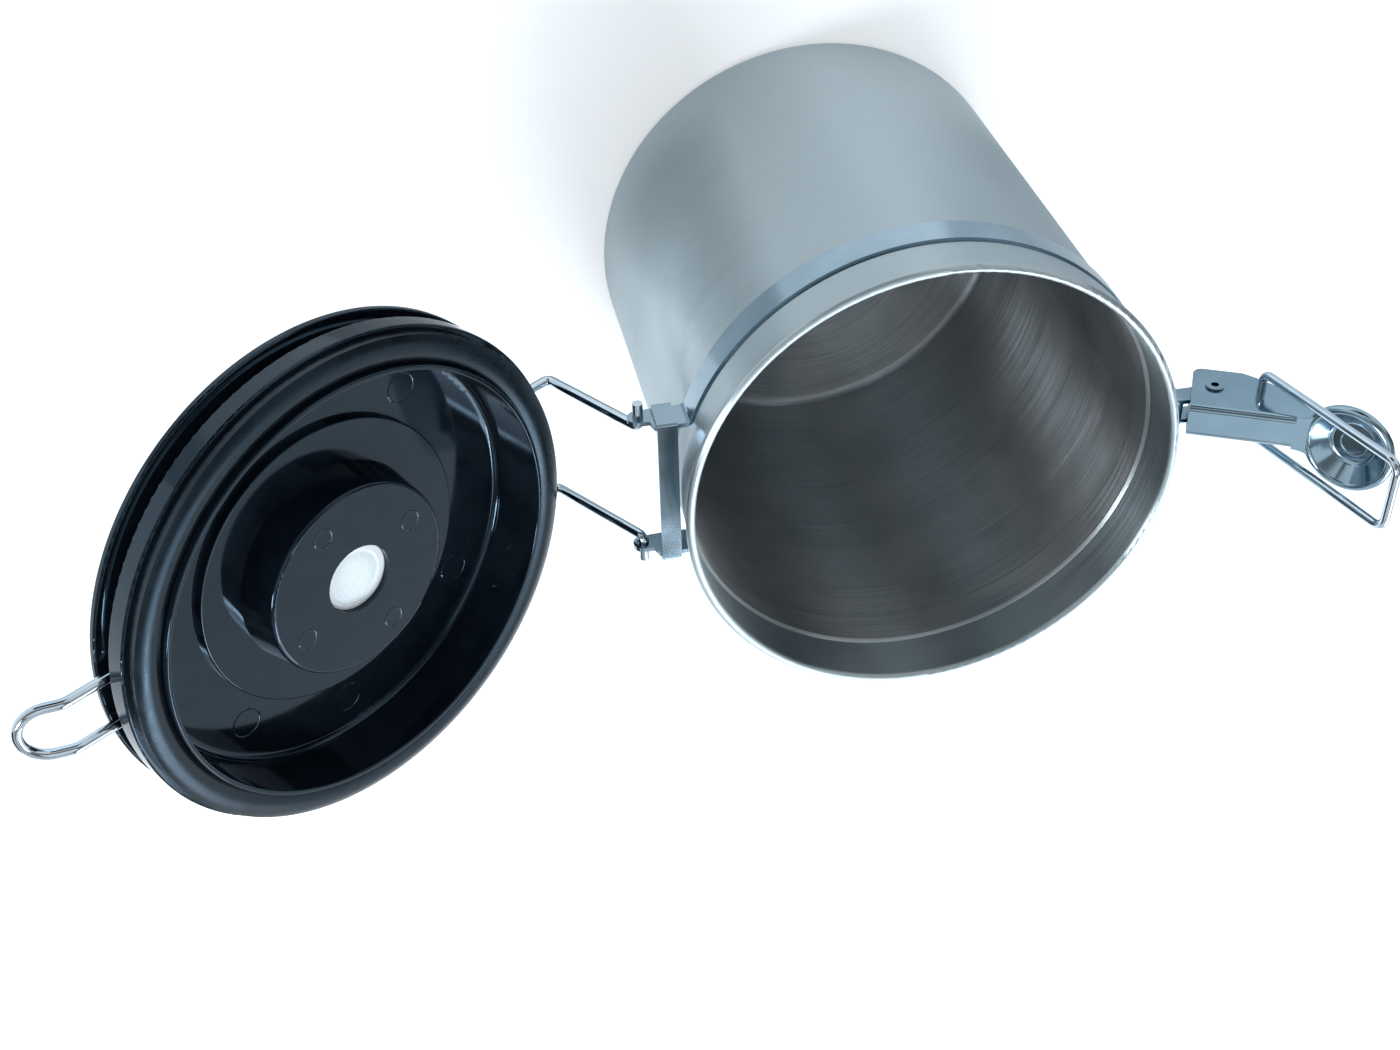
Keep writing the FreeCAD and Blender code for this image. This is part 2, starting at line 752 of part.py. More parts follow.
def lid_bail():
    """Bail wire: hinge pins, arms, ring in the lid's slot and catch loop, mirrored about y = 0."""
    pin_x = -value("hinge_x")
    pin_z = -value("hinge_drop")
    high = value("wire_height")
    arm = value("hinge_half_gap - arm_inset")
    ring = value("ring_radius")
    fillet = value("ring_fillet")
    catch = value("catch_half_width")
    tip = catch_points()

    def fillet_arc(side, offset):
        reach = math.sqrt((ring + fillet) ** 2 - (offset + fillet) ** 2)
        centre = Vector(side * reach, offset + fillet, high)
        on_line = Vector(side * reach, offset, high)
        on_ring = Vector(centre.x, centre.y, 0) * (ring / (ring + fillet)) + Vector(0, 0, high)
        inward = ((on_line - centre) + (on_ring - centre)).normalize()
        return on_line, centre + inward * fillet, on_ring

    arm_line, arm_middle, arm_ring = fillet_arc(-1, arm)
    catch_line, catch_middle, catch_ring = fillet_arc(1, catch)
    pin_end = Vector(pin_x, value("hinge_ear + pin_stub"), pin_z)
    half = bent([pin_end, Vector(pin_x, arm, pin_z), Vector(pin_x, arm, high), arm_line],
                [value("arm_bend")] * 2)
    half.append(Part.Arc(arm_line, arm_middle, arm_ring).toShape())
    half.append(Part.Arc(arm_ring, Vector(0, ring, high), catch_ring).toShape())
    half.append(Part.Arc(catch_ring, catch_middle, catch_line).toShape())
    half += bent([catch_line, tip["bend"], tip["shoulder"]], [value("catch_bend")])
    other = [edge.mirror(Vector(0, 0, 0), Vector(0, 1, 0)) for edge in half]
    opposite = Vector(tip["shoulder"].x, -tip["shoulder"].y, tip["shoulder"].z)
    nose = Part.Arc(tip["shoulder"], tip["nose"], opposite).toShape()
    piece = doc.addObject("Part::Feature", "lid_bail")
    piece.Label = "lid_bail"
    piece.Shape = wire_solid(half + [nose] + other, value("wire_radius"))
    piece.Placement = lid_placement()
    return piece


def catch_points():
    """Catch loop in the lid's frame: where it bends up, where its round nose starts, and the nose."""
    catch = value("catch_half_width")
    rise = math.radians(value("catch_rise_angle"))
    slope = Vector(math.cos(rise), 0, math.sin(rise))
    bend = Vector(value("lid_radius + catch_flat"), catch, value("wire_height"))
    shoulder = bend + slope * value("catch_slope")
    middle = Vector(shoulder.x, 0, shoulder.z)
    return {"bend": bend, "shoulder": shoulder, "nose": middle + slope * catch}


def latch_lever():
    """Stamped lever. Its own frame has the rivet on the origin, its length on X, the web on top."""
    body = new_body("latch_lever")
    side = new_sketch(body, "lever_side", "XZ_Plane")
    outline(side, [
        ("-lever_end", "web_height"),
        ("-lever_end", "cheek_corner - cheek_drop", "cheek_corner", 1),
        ("cheek_corner - lever_end", "-cheek_drop"),
        ("cheek_turn", "-cheek_drop", "cheek_sweep", 1),
        ("cheek_end", "cheek_lift"),
        ("cheek_end", "web_under"),
        ("web_end", "web_under"),
        ("web_end", "web_height"),
    ])
    pad(body, side, "2 * lever_half_width", True)
    inside = new_sketch(body, "lever_inside", "YZ_Plane")
    outline(inside, [
        ("-cheek_inside", "-(cheek_drop + overrun)"),
        ("cheek_inside", "-(cheek_drop + overrun)"),
        ("cheek_inside", "web_under"),
        ("-cheek_inside", "web_under"),
    ])
    cut_through(body, inside)
    top = value("web_height")
    round_edges(body, "web_round", lambda edge: along_x(edge, top))
    neck = new_sketch(body, "pad_neck", "XY_Plane")
    outline(neck, [
        ("neck_low", "-lever_half_width", "neck_round", -1),
        ("neck_top", "-neck_half_width", "neck_end_round", -1),
        ("neck_top", "neck_half_width", "neck_round", -1),
        ("neck_low", "lever_half_width"),
    ])
    neck.setExpression("AttachmentOffset.Base.z", bound("web_under"))
    pad(body, neck, "lever_sheet")
    dish = new_sketch(body, "thumb_pad", "XZ_Plane")
    outline(dish, [
        ("0", "pad_floor - lever_sheet"),
        ("pad_floor_radius", "pad_floor - lever_sheet"),
        ("pad_foot_radius + sheet_slant", "pad_foot - sheet_slant"),
        ("pad_head_radius + sheet_slant", "pad_head - sheet_slant"),
        ("pad_crest_radius", "pad_crest - lever_sheet"),
        ("pad_radius - lever_sheet", "pad_edge"),
        ("pad_radius - lever_sheet", "0"),
        ("pad_radius", "0"),
        ("pad_radius", "pad_edge", "pad_rim_round", 1),
        ("pad_crest_radius", "pad_crest", "pad_lip_round", 1),
        ("pad_head_radius", "pad_head"),
        ("pad_foot_radius", "pad_foot", "pad_corner_round", -1),
        ("pad_floor_radius", "pad_floor"),
        ("0", "pad_floor"),
    ])
    tilt = Rotation(Vector(0, 0, 1), value("pad_tilt_angle"))
    dish.AttachmentOffset = Placement(Vector(value("pad_out"), value("web_height + pad_lift"), 0), tilt)
    revolve(body, dish)
    holes = new_sketch(body, "lever_holes", "XZ_Plane")
    circle(holes, "0", "0", "lever_hole")
    circle(holes, "loop_hole_out", "-loop_hole_drop", "loop_hole")
    cut_through(body, holes)
    body.Placement = Placement(pivot_point(), turned_up(value("lever_rest_angle")))
    return body


def along_x(edge, height):
    """Picks the long straight edges at a height."""
    ends = [vertex.Point for vertex in edge.Vertexes]
    near = Part.Precision.approximation()
    level = all(abs(point.z - height) < near for point in ends)
    return len(ends) == 2 and level and abs(ends[0].y - ends[1].y) < near


def loop_hole_at(lever_angle):
    """Centre of the loop's holes in the can's frame, with the lever at an angle above +X."""
    hole = Vector(value("loop_hole_out"), 0, -value("loop_hole_drop"))
    return pivot_point() + turned_up(lever_angle).multVec(hole)


def latch_loop():
    """Wire loop. It is just long enough to hook over the catch when lid and lever are shut."""
    seat = Vector(value("lid_radius + hook_seat"), 0,
                  value("body_height + wire_height + wire_radius + hook_gap + loop_radius"))
    reach = (seat - loop_hole_at(value("lever_closed_angle"))).Length
    half = value("loop_half_width")
    end = value("cheek_inside - loop_end_inset")
    corners = [Vector(0, end, 0), Vector(0, half, 0), Vector(reach, half, 0),
               Vector(reach, -half, 0), Vector(0, -half, 0), Vector(0, -end, 0)]
    root = value("loop_root_bend")
    tip = value("loop_tip_bend")
    piece = doc.addObject("Part::Feature", "latch_loop")
    piece.Label = "latch_loop"
    piece.Shape = wire_solid(bent(corners, [root, tip, tip, root]), value("loop_radius"))
    rest = turned_up(value("loop_rest_angle"))
    piece.Placement = Placement(loop_hole_at(value("lever_rest_angle")), rest)
    return piece


pieces = [
    canister_body(),
    half_band("neck_band_left", 1),
    half_band("neck_band_right", -1),
    ear_clip("hinge_clip", "hinge_ear", "band_top", "band_low", "-(hinge_clip_x + clip_width)"),
    ear_clip("latch_clip", "latch_ear", "latch_ear_top", "latch_ear_low", "latch_clip_x"),
    latch_rivet(),
    lid_shell(),
    lid_gasket(),
    lid_bail(),
    valve_body(),
    valve_filter(),
    valve_flap(),
    valve_cap(),
    vent_cover(),
    latch_lever(),
    latch_loop(),
]
doc.recompute()

for item in doc.Objects:
    if "Invalid" in item.State or "Error" in item.State:
        raise ValueError("failed object: " + item.Label)
for piece in pieces:
    if piece.Shape.isNull() or not piece.Shape.isValid() or len(piece.Shape.Solids) != 1:
        raise ValueError("bad shape: " + piece.Label)

os.makedirs("parts", exist_ok=True)
for piece in pieces:
    piece.Shape.exportStep("parts/%s.step" % piece.Label)
    print(piece.Label, round(piece.Shape.Volume), "mm3")
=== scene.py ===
import math

import bpy
from mathutils import Matrix, Quaternion, Vector


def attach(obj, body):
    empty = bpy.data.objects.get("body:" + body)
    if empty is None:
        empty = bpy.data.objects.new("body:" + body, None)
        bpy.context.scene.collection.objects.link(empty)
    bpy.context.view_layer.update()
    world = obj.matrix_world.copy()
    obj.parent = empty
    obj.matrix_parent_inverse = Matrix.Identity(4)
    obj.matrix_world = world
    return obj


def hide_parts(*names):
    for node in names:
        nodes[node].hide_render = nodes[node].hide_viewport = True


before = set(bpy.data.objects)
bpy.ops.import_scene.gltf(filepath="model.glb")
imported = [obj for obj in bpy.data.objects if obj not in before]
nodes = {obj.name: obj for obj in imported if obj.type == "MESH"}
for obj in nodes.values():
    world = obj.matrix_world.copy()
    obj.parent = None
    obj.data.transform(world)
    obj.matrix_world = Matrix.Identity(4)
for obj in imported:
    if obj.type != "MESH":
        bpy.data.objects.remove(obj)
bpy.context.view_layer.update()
scene = bpy.context.scene
scene.view_settings.view_transform = "Standard"
print("frame loaded:", len(nodes), "nodes")

mm = 0.001


def linearColour(code):  # sRGB hex to linear RGBA
    parts = [int(code[i:i + 2], 16) / 255 for i in (1, 3, 5)]
    return tuple(p / 12.92 if p <= 0.04045 else ((p + 0.055) / 1.055) ** 2.4 for p in parts) + (1.0,)


def addNode(tree, kind, settings=None, inputs=None):  # one node with its settings and links
    node = tree.nodes.new("ShaderNode" + kind)
    for name, value in (settings or {}).items():
        setattr(node, name, value)
    for name, value in (inputs or {}).items():
        socket = node.inputs[name]
        if isinstance(value, bpy.types.Node):
            tree.links.new(value.outputs[0], socket)
        elif isinstance(value, bpy.types.NodeSocket):
            tree.links.new(value, socket)
        else:
            socket.default_value = value
    return node


def newMaterial(name):
    material = bpy.data.materials.new(name)
    material.use_nodes = True
    tree = material.node_tree
    return material, tree, tree.nodes["Principled BSDF"]


def paintRamp(ramp, places, codes):  # two colours on a ramp
    for stop, place, code in zip(ramp.color_ramp.elements, places, codes):
        stop.position, stop.color = place, linearColour(code)


def seenRay(tree):  # 1 for the camera, in gloss and through clear things, so that all see one background
    ray = addNode(tree, "LightPath")
    mirrored = addNode(tree, "Math", {"operation": "MAXIMUM"}, {
        0: ray.outputs["Is Glossy Ray"], 1: ray.outputs["Is Transmission Ray"]})
    return addNode(tree, "Math", {"operation": "MAXIMUM"}, {0: ray.outputs["Is Camera Ray"], 1: mirrored})


noiseSpan = (0.35, 0.65)  # where most of a noise's values lie

# Brushed stainless steel: linished round the can, so light spreads along the axis
# Finer lines outside, coarse ones inside
steelLook = {
    # the inside pair is darker than the outside pair, as painted shade inside the can, and spreads wider for the
    # stronger lines
    "outside": ("#a3b0b6", "#aebdc3"), "inside": ("#8c9396", "#b4b9bc"),
    "lineMm": 0.3,         # real brush lines are near 0.1 mm, drawn coarser so that they show
    "lineTurn": 0.7,       # lines run about this part of a radian before they fade
    "bandMm": 16.0,        # slow drift of tone between brush passes
    "bandShare": 0.3, "noiseDetail": 2.0, "toneSpan": (0.3, 0.7),
    "insideRadius": 57.72, "insideFloor": 0.45,
    "roughOutside": 0.36, "roughInside": 0.40, "roughSpread": 0.06,
    "lineDepthMm": 0.010, "quietOutside": 0.12,
    "anisotropy": 0.92, "brushTurn": 0.25,  # a quarter turn, across the brush lines
}


def brushedSteel(look):
    material, tree, shader = newMaterial("brushedStainlessSteel")
    where = addNode(tree, "TexCoord")
    axis = addNode(tree, "SeparateXYZ", inputs={0: where.outputs["Object"]})
    turn = addNode(tree, "Math", {"operation": "ARCTAN2"}, {0: axis.outputs["Y"], 1: axis.outputs["X"]})
    flat = addNode(tree, "CombineXYZ", inputs={"X": axis.outputs["X"], "Y": axis.outputs["Y"]})
    out = addNode(tree, "VectorMath", {"operation": "LENGTH"}, {0: flat}).outputs["Value"]
    perLine = 1 / (look["lineMm"] * mm)
    around = addNode(tree, "CombineXYZ", inputs={
        "X": addNode(tree, "Math", {"operation": "MULTIPLY"}, {0: turn, 1: 1 / look["lineTurn"]}),
        "Y": addNode(tree, "Math", {"operation": "MULTIPLY"}, {0: axis.outputs["Z"], 1: perLine}),
        "Z": addNode(tree, "Math", {"operation": "MULTIPLY"}, {0: out, 1: perLine})})
    lines = addNode(tree, "TexNoise", inputs={
        "Vector": around, "Scale": 1.0, "Detail": look["noiseDetail"], "Roughness": 0.5})
    drift = addNode(tree, "TexNoise", inputs={
        "Vector": where.outputs["Object"], "Scale": 1 / (look["bandMm"] * mm), "Detail": look["noiseDetail"]})
    tone = addNode(tree, "Mix", {"data_type": "FLOAT"}, {
        0: look["bandShare"], 2: lines.outputs["Fac"], 3: drift.outputs["Fac"]})

    # inside of the can: within the wall and above the base
    within = addNode(tree, "Math", {"operation": "LESS_THAN"}, {0: out, 1: look["insideRadius"] * mm})
    above = addNode(tree, "Math", {"operation": "GREATER_THAN"}, {0: axis.outputs["Z"], 1: look["insideFloor"] * mm})
    inside = addNode(tree, "Math", {"operation": "MULTIPLY"}, {0: within, 1: above})
    ramps = []
    for side in ("outside", "inside"):
        ramp = addNode(tree, "ValToRGB", inputs={"Fac": tone})
        paintRamp(ramp, look["toneSpan"], look[side])
        ramps.append(ramp)
    # the inside of the can takes the darker pair: painted shade
    colour = addNode(tree, "Mix", {"data_type": "RGBA"}, {0: inside, 6: ramps[0], 7: ramps[1]})
    middle = addNode(tree, "Mix", {"data_type": "FLOAT"}, {
        0: inside, 2: look["roughOutside"], 3: look["roughInside"]})
    spread = addNode(tree, "MapRange", inputs={
        "Value": tone, "From Min": look["toneSpan"][0], "From Max": look["toneSpan"][1],
        "To Min": -look["roughSpread"], "To Max": look["roughSpread"]})
    rough = addNode(tree, "Math", {"operation": "ADD"}, {0: middle, 1: spread})
    cut = addNode(tree, "Mix", {"data_type": "FLOAT"}, {0: inside, 2: look["quietOutside"], 3: 1.0})
    bump = addNode(tree, "Bump", inputs={
        "Height": lines.outputs["Fac"], "Strength": cut, "Distance": look["lineDepthMm"] * mm})
    tangent = addNode(tree, "Tangent", {"direction_type": "RADIAL", "axis": "Z"})
    for name, value in {"Base Color": colour.outputs[2], "Roughness": rough.outputs[0],
                        "Normal": bump.outputs[0], "Tangent": tangent.outputs[0]}.items():
        tree.links.new(value, shader.inputs[name])
    shader.inputs["Metallic"].default_value = 1.0
    shader.inputs["Anisotropic"].default_value = look["anisotropy"]
    shader.inputs["Anisotropic Rotation"].default_value = look["brushTurn"]
    return material


# Nickel-plated sheet steel: smooth and cool, with the faint cloudiness of a stamped and barrel-polished part
plateLook = {"dark": "#899eab", "light": "#94a8b5", "cloudMm": 9.0, "grainMm": 0.35,
             "roughLow": 0.15, "roughHigh": 0.20, "grainDepthMm": 0.0008}

# The lever's nickel plating: smoother than the bands', and its colour painted a shade darker than theirs, as painted
# shade on the lever and its pad
leverPaintedShadeLook = {"dark": "#879fae", "light": "#91a9b7", "cloudMm": 12.0, "grainMm": 0.35,
             "roughLow": 0.13, "roughHigh": 0.17, "grainDepthMm": 0.002}

# Chrome-plated spring wire: near mirror, so the round wire shows one bright and one dark streak
wireLook = {"dark": "#b0bfca", "light": "#bccad4", "cloudMm": 6.0, "grainMm": 0.3,
            "roughLow": 0.06, "roughHigh": 0.10, "grainDepthMm": 0.001}

platingLook = {"cloudDetail": 3.0, "grainDetail": 2.0, "bumpStrength": 0.4}  # shared by all three


def platedMetal(name, look, shared):
    material, tree, shader = newMaterial(name)
    where = addNode(tree, "TexCoord")
    cloud = addNode(tree, "TexNoise", inputs={
        "Vector": where.outputs["Object"], "Scale": 1 / (look["cloudMm"] * mm), "Detail": shared["cloudDetail"]})
    grain = addNode(tree, "TexNoise", inputs={
        "Vector": where.outputs["Object"], "Scale": 1 / (look["grainMm"] * mm), "Detail": shared["grainDetail"]})
    colour = addNode(tree, "ValToRGB", inputs={"Fac": cloud.outputs["Fac"]})
    paintRamp(colour, noiseSpan, (look["dark"], look["light"]))
    rough = addNode(tree, "MapRange", inputs={
        "Value": cloud.outputs["Fac"], "From Min": noiseSpan[0], "From Max": noiseSpan[1],
        "To Min": look["roughLow"], "To Max": look["roughHigh"]})
    bump = addNode(tree, "Bump", inputs={
        "Height": grain.outputs["Fac"], "Strength": shared["bumpStrength"], "Distance": look["grainDepthMm"] * mm})
    for socket, node in {"Base Color": colour, "Roughness": rough, "Normal": bump}.items():
        tree.links.new(node.outputs[0], shader.inputs[socket])
    shader.inputs["Metallic"].default_value = 1.0
    return material


# Black ABS, injection moulded in a polished tool: deep gloss, with slight waviness where it shrank
lidLook = {"dark": "#0c1219", "light": "#111820", "waveMm": 22.0, "hazeMm": 6.0, "sheen": "#b4e0ff",
           "roughLow": 0.07, "roughHigh": 0.11, "waveDepthMm": 0.02}

# Black silicone rubber: soft sheen from a finely blasted mould, never a mirror
rubberLook = {"dark": "#090d11", "light": "#0d1318", "waveMm": 8.0, "hazeMm": 4.0, "sheen": "#a6d0f0",
              "roughLow": 0.25, "roughHigh": 0.31, "waveDepthMm": 0.015}

# White polypropylene valve and clear-grey silicone flap, moulded with a fine matt grain
valveLook = {"dark": "#d9dee0", "light": "#eef1f2", "waveMm": 5.0, "hazeMm": 0.3, "sheen": "#ffffff",
             "roughLow": 0.38, "roughHigh": 0.5, "waveDepthMm": 0.01}
flapLook = {"dark": "#b9c0c2", "light": "#d3d9da", "waveMm": 4.0, "hazeMm": 0.4, "sheen": "#ffffff",
            "roughLow": 0.3, "roughHigh": 0.42, "waveDepthMm": 0.01}

mouldingLook = {"hazeDetail": 4.0, "waveDetail": 1.0, "bumpStrength": 0.3}  # shared by all four


def mouldedPlastic(name, look, shared):
    material, tree, shader = newMaterial(name)
    where = addNode(tree, "TexCoord")
    haze = addNode(tree, "TexNoise", inputs={
        "Vector": where.outputs["Object"], "Scale": 1 / (look["hazeMm"] * mm), "Detail": shared["hazeDetail"]})
    wave = addNode(tree, "TexNoise", inputs={
        "Vector": where.outputs["Object"], "Scale": 1 / (look["waveMm"] * mm), "Detail": shared["waveDetail"]})
    colour = addNode(tree, "ValToRGB", inputs={"Fac": haze.outputs["Fac"]})
    paintRamp(colour, noiseSpan, (look["dark"], look["light"]))
    rough = addNode(tree, "MapRange", inputs={
        "Value": haze.outputs["Fac"], "From Min": noiseSpan[0], "From Max": noiseSpan[1],
        "To Min": look["roughLow"], "To Max": look["roughHigh"]})
    bump = addNode(tree, "Bump", inputs={
        "Height": wave.outputs["Fac"], "Strength": shared["bumpStrength"], "Distance": look["waveDepthMm"] * mm})
    for socket, node in {"Base Color": colour, "Roughness": rough, "Normal": bump}.items():
        tree.links.new(node.outputs[0], shader.inputs[socket])
    shader.inputs["Specular Tint"].default_value = linearColour(look["sheen"])
    return material


# White non-woven filter paper: pressed fibres that scatter light, with a slightly fuzzy face
paperLook = {"dark": "#d3e0e6", "light": "#f1f7f9", "toneSpan": (0.3, 0.6), "fibreMm": 0.35, "fibreDetail": 4.0,
             "fibreTwist": 1.5, "depthMm": 0.05, "bumpStrength": 0.5, "rough": 0.85, "fuzz": 0.15}


def filterPaper(look):
    material, tree, shader = newMaterial("nonWovenFilterPaper")
    where = addNode(tree, "TexCoord")
    fibre = addNode(tree, "TexNoise", inputs={
        "Vector": where.outputs["Object"], "Scale": 1 / (look["fibreMm"] * mm),
        "Detail": look["fibreDetail"], "Distortion": look["fibreTwist"]})
    colour = addNode(tree, "ValToRGB", inputs={"Fac": fibre.outputs["Fac"]})
    paintRamp(colour, look["toneSpan"], (look["dark"], look["light"]))
    bump = addNode(tree, "Bump", inputs={
        "Height": fibre.outputs["Fac"], "Strength": look["bumpStrength"], "Distance": look["depthMm"] * mm})
    tree.links.new(colour.outputs[0], shader.inputs["Base Color"])
    tree.links.new(bump.outputs[0], shader.inputs["Normal"])
    shader.inputs["Roughness"].default_value = look["rough"]
    shader.inputs["Sheen Weight"].default_value = look["fuzz"]
    return material


finishes = {
    "steel": brushedSteel(steelLook),
    "plate": platedMetal("nickelPlatedSheetSteel", plateLook, platingLook),
    "lever": platedMetal("nickelPlatedLeverPaintedShade", leverPaintedShadeLook, platingLook),
    "wire": platedMetal("chromePlatedWire", wireLook, platingLook),
    "lid": mouldedPlastic("glossBlackAbs", lidLook, mouldingLook),
    "rubber": mouldedPlastic("blackSiliconeRubber", rubberLook, mouldingLook),
    "valve": mouldedPlastic("whitePolypropylene", valveLook, mouldingLook),
    "flap": mouldedPlastic("clearSiliconeFlap", flapLook, mouldingLook),
    "paper": filterPaper(paperLook),
}

nodeFinish = {
    "canister_body": "steel",
    "neck_band_left": "plate", "neck_band_right": "plate", "hinge_clip": "plate", "latch_clip": "plate",
    "latch_lever": "lever", "latch_rivet": "lever",
    "lid_bail": "wire", "latch_loop": "wire",
    "lid_shell": "lid", "vent_cover": "lid", "lid_gasket": "rubber",
    "valve_body": "valve", "valve_cap": "valve", "valve_filter": "paper", "valve_flap": "flap",
}
for nodeName, finish in nodeFinish.items():
    for slot in nodes[nodeName].material_slots:
        slot.material = finishes[finish]
print("materials on", len(nodeFinish), "nodes")


# Where the lid lies at rest: its own axes, from the lid's mouth plane
lidPlace = {"hinge": (-67.3, 0.0, 106.1), "openAngle": 144.7, "centreOut": 67.3, "centreUp": 19.3}
lidTurn = math.radians(lidPlace["openAngle"])
lidX = Vector((math.cos(lidTurn), 0, math.sin(lidTurn)))
lidZ = Vector((-math.sin(lidTurn), 0, math.cos(lidTurn)))
lidOrigin = Vector(lidPlace["hinge"]) + lidX * lidPlace["centreOut"] + lidZ * lidPlace["centreUp"]
lidMatrix = Matrix(((lidX.x, 0, lidZ.x, lidOrigin.x * mm),
                    (0, 1, 0, 0),
                    (lidX.z, 0, lidZ.z, lidOrigin.z * mm),
                    (0, 0, 0, 1)))


def startPiece(name):
    if bpy.context.mode != "OBJECT":
        bpy.ops.object.mode_set(mode="OBJECT")
    piece = bpy.context.object
    piece.name = piece.data.name = name
    return piece


def selectFaces(piece, test):  # picks faces by their centre and normal
    bpy.ops.object.mode_set(mode="EDIT")
    bpy.ops.mesh.select_mode(type="FACE")
    bpy.ops.mesh.select_all(action="DESELECT")
    bpy.ops.object.mode_set(mode="OBJECT")
    for face in piece.data.polygons:
        face.select = bool(test(face.center, face.normal))
    bpy.ops.object.mode_set(mode="EDIT")


def settle(piece, place):  # puts a finished piece in its place, with the place in its mesh
    bpy.ops.object.mode_set(mode="OBJECT")
    bpy.ops.object.select_all(action="DESELECT")
    piece.select_set(True)
    bpy.context.view_layer.objects.active = piece
    piece.matrix_world = place
    bpy.ops.object.transform_apply(location=True, rotation=True, scale=True)


# Round marks that the ejector pins left in the lid's moulding
markLook = {"hubRadius": 17.5, "hubTurns": (65, 155, 245, 335), "hubFace": 3.1, "hubSize": 2.6,
            "floorRadius": 42.3, "floorTurns": (129, 215, 272, 313), "floorFace": 14.6, "floorSize": 3.9,
            "lip": 0.22, "rise": 0.105, "dish": 0.095, "sink": 0.02, "sides": 48, "smoothAngle": 40}


def ejectorMark(size, look):
    bpy.ops.object.select_all(action="DESELECT")
    bpy.ops.mesh.primitive_circle_add(vertices=look["sides"], radius=size * mm, fill_type="NGON", location=(0, 0, 0))
    mark = startPiece("lidMark")
    bpy.ops.object.mode_set(mode="EDIT")
    bpy.ops.mesh.select_all(action="SELECT")
    bpy.ops.mesh.inset(thickness=look["lip"] * mm)
    bpy.ops.transform.translate(value=(0, 0, -look["rise"] * mm))
    bpy.ops.mesh.inset(thickness=look["lip"] * mm)
    bpy.ops.transform.translate(value=(0, 0, look["dish"] * mm))
    bpy.ops.mesh.select_all(action="DESELECT")
    bpy.ops.mesh.select_mode(type="EDGE")
    bpy.ops.mesh.select_non_manifold()
    bpy.ops.mesh.edge_face_add()  # back face, inside the lid's wall
    bpy.ops.mesh.select_all(action="SELECT")
    bpy.ops.mesh.normals_make_consistent(inside=False)
    bpy.ops.object.mode_set(mode="OBJECT")
    bpy.ops.object.shade_smooth_by_angle(angle=math.radians(look["smoothAngle"]))
    mark.data.materials.append(finishes["lid"])
    return mark


markCount = 0
for kind in ("hub", "floor"):
    firstMark = ejectorMark(markLook[kind + "Size"], markLook)
    turns = markLook[kind + "Turns"]
    outward = Matrix.Translation((markLook[kind + "Radius"] * mm, 0, (markLook[kind + "Face"] + markLook["sink"]) * mm))
    for index, turn in enumerate(turns):
        markCount += 1
        if index + 1 < len(turns):
            bpy.ops.object.select_all(action="DESELECT")
            firstMark.select_set(True)
            bpy.context.view_layer.objects.active = firstMark
            bpy.ops.object.duplicate(linked=False)
            mark = bpy.context.object
        else:
            mark = firstMark  # the first one takes the last place
        mark.name = mark.data.name = "lidMark%d" % markCount
        settle(mark, lidMatrix @ (Matrix.Rotation(math.radians(turn), 4, "Z") @ outward))
        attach(mark, "lid")
print("lid marks:", markCount)


# Gasket with its crowned sealing face, drawn ring by ring along its section
gasketLook = {"inside": 52.65, "outside": 59.1, "seat": 3.5, "crest": 0.2, "crown": 0.95, "steps": 14,
              "sides": 180, "merge": 0.001, "smoothAngle": 40}
bpy.ops.object.select_all(action="DESELECT")
bpy.ops.mesh.primitive_circle_add(vertices=gasketLook["sides"], radius=gasketLook["inside"] * mm,
                                  fill_type="NOTHING", location=(0, 0, 0))
gasket = startPiece("gasketRing")
half = (gasketLook["outside"] - gasketLook["inside"]) / 2
gasketSection = []
for step in range(gasketLook["steps"] + 1):
    across = -1 + 2 * step / gasketLook["steps"]  # from the inner edge to the outer
    gasketSection.append((gasketLook["inside"] + half * (1 + across),
                          gasketLook["crest"] + gasketLook["crown"] * across * across))
gasketSection += [(gasketLook["outside"], gasketLook["seat"]), (gasketLook["inside"], gasketLook["seat"])]
bpy.ops.object.mode_set(mode="EDIT")
bpy.ops.mesh.select_all(action="SELECT")
reach, height = gasketLook["inside"], gasketLook["seat"]
for newReach, newHeight in gasketSection:
    bpy.ops.mesh.extrude_region_move(TRANSFORM_OT_translate={"value": (0, 0, (newHeight - height) * mm)})
    bpy.ops.transform.resize(value=(newReach / reach, newReach / reach, 1), center_override=(0, 0, 0))
    reach, height = newReach, newHeight
bpy.ops.mesh.select_all(action="SELECT")
bpy.ops.mesh.remove_doubles(threshold=gasketLook["merge"] * mm)
bpy.ops.mesh.normals_make_consistent(inside=False)
bpy.ops.object.mode_set(mode="OBJECT")
bpy.ops.object.shade_smooth_by_angle(angle=math.radians(gasketLook["smoothAngle"]))
settle(gasket, lidMatrix @ Matrix.Translation((0, 0, gasketLook["seat"] * mm)))
gasket.data.materials.append(finishes["rubber"])
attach(gasket, "lid")
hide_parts("lid_gasket")
print("gasket ring done")


# Filter disc in the valve's mouth, slightly crowned, with a pressed edge
filterLook = {"radius": 6.88, "low": 4.66, "high": 5.34, "edge": 0.7, "crown": 0.28, "sides": 72,
              "shoulder": 0.4, "shoulderShare": 0.6, "middle": 2.4, "smoothAngle": 50}
thickness = filterLook["high"] - filterLook["low"]
bpy.ops.object.select_all(action="DESELECT")
bpy.ops.mesh.primitive_circle_add(vertices=filterLook["sides"], radius=filterLook["radius"] * mm,
                                  fill_type="NGON", location=(0, 0, 0))
disc = startPiece("valveFilterDisc")
bpy.ops.object.mode_set(mode="EDIT")
bpy.ops.mesh.select_all(action="SELECT")
bpy.ops.mesh.extrude_region_move(TRANSFORM_OT_translate={"value": (0, 0, thickness * mm)})
selectFaces(disc, lambda centre, normal: abs(normal.z) > 0.9 and centre.z < thickness / 2 * mm)
bpy.ops.mesh.inset(thickness=filterLook["edge"] * mm)
bpy.ops.transform.translate(value=(0, 0, filterLook["crown"] * mm))
